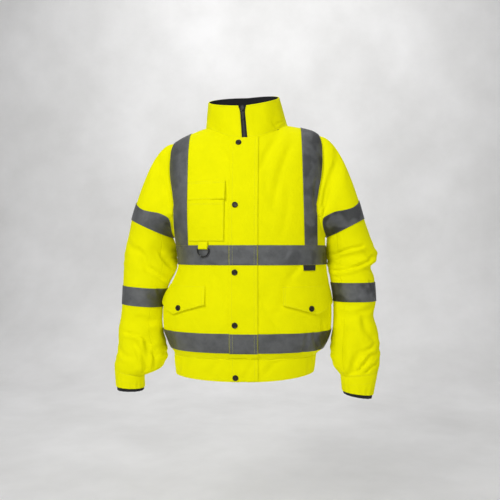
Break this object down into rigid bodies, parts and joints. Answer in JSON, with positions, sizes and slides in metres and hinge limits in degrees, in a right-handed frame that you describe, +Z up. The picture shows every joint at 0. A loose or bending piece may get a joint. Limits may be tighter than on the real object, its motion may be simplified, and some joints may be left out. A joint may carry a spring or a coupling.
{
  "type": "hi-vis work jacket",
  "caption": "Zipped hi-vis bomber jacket, hollow in its worn shape, with reflective tapes, stand collar, storm flap, pockets, gathered waistband and cuffs.",
  "frame": {"origin": "middle of the shoulders and neck, where a wearer's body carries the jacket, 655 mm above the hem", "axes": "+Z up, -Y out of the front, +X towards the wearer's left"},
  "size_m": [0.71, 0.3028, 0.8242],
  "materials": {
    "hi_vis_cloth": "coated woven polyester",
    "reflective_tape": "glass-bead reflective, satin",
    "lining": "matt woven",
    "black_zip": "moulded coil and painted slider",
    "black_ring": "moulded",
    "black_label": "woven tab, bare",
    "press_stud": "dark gunmetal paint"
  },
  "bodies": {
    "root": {"back": "hi_vis_cloth", "brace_tape_left": "reflective_tape", "brace_tape_right": "reflective_tape", "chest_tape_back": "reflective_tape", "chest_tape_flap": "reflective_tape", "chest_tape_left": "reflective_tape", "chest_tape_right": "reflective_tape", "collar_lining": "lining", "collar_outer": "hi_vis_cloth", "cuff_left": "hi_vis_cloth", "cuff_lining_left": "lining", "cuff_lining_right": "lining", "cuff_right": "hi_vis_cloth", "d_ring_tab": "hi_vis_cloth", "front_left": "hi_vis_cloth", "front_right": "hi_vis_cloth", "label": "black_label", "phone_pocket": "hi_vis_cloth", "phone_pocket_flap": "hi_vis_cloth", "pocket_flap_left": "hi_vis_cloth", "pocket_flap_right": "hi_vis_cloth", "sleeve_left_top": "hi_vis_cloth", "sleeve_left_under": "hi_vis_cloth", "sleeve_right_top": "hi_vis_cloth", "sleeve_right_under": "hi_vis_cloth", "sleeve_tape_left_lower": "reflective_tape", "sleeve_tape_left_upper": "reflective_tape", "sleeve_tape_right_lower": "reflective_tape", "sleeve_tape_right_upper": "reflective_tape", "snap_flap_1": "press_stud", "snap_flap_2": "press_stud", "snap_flap_3": "press_stud", "snap_flap_4": "press_stud", "snap_flap_5": "press_stud", "snap_pocket_left": "press_stud", "snap_pocket_right": "press_stud", "storm_flap": "hi_vis_cloth", "waist_tape_back": "reflective_tape", "waist_tape_flap": "reflective_tape", "waist_tape_left": "reflective_tape", "waist_tape_right": "reflective_tape", "waistband_back": "hi_vis_cloth", "waistband_left": "hi_vis_cloth", "waistband_right": "hi_vis_cloth", "zip": "black_zip", "zip_slider": "black_zip"},
    "ring": {"d_ring": "black_ring"},
    "pull": {"zip_pull": "black_zip"}
  },
  "joints": [
    {"name": "d_ring_swing", "type": "hinge", "parent": "root", "child": "ring", "pos_m": [-0.10294, -0.13319, -0.31317], "axis": [-0.9278, 0.3732, 0], "range_deg": [0, 150]},
    {"name": "zip_pull_swing", "type": "hinge", "parent": "root", "child": "pull", "pos_m": [-0.00604, -0.08699, 0.04667], "axis": [-0.9965, 0, -0.0834], "range_deg": [0, 150]}
  ]
}
